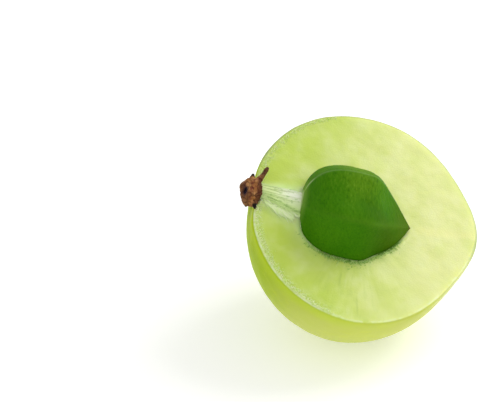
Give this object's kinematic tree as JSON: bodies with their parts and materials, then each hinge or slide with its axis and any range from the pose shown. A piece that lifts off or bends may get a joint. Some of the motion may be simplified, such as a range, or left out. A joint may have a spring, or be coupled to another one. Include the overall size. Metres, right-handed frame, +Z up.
{
  "type": "indian gooseberry half",
  "caption": "Round pale green fruit cut lengthwise, with its whole ribbed green stone standing in the cut face and the dry stalk cap left on.",
  "frame": {"origin": "on the small flat spot that the half rests on, straight below the fruit's centre", "axes": "+Z up; the fruit's axis runs from the stalk at -X to the apex at +X and dips towards the apex; the cut face leans towards -Y"},
  "size_m": [0.0281, 0.0288, 0.0216],
  "materials": {
    "flesh_and_skin": "moist translucent flesh with a smooth thin skin",
    "stone": "smooth deep green with a soft sheen and fine dimples",
    "strand": "pale moist fibres running lengthwise",
    "stalk_cap": "dry crumpled brown with dark creases"
  },
  "bodies": {
    "root": {"flesh_half": "flesh_and_skin", "stone": "stone", "fibre_strand": "strand", "stalk_cap": "stalk_cap"}
  },
  "joints": []
}
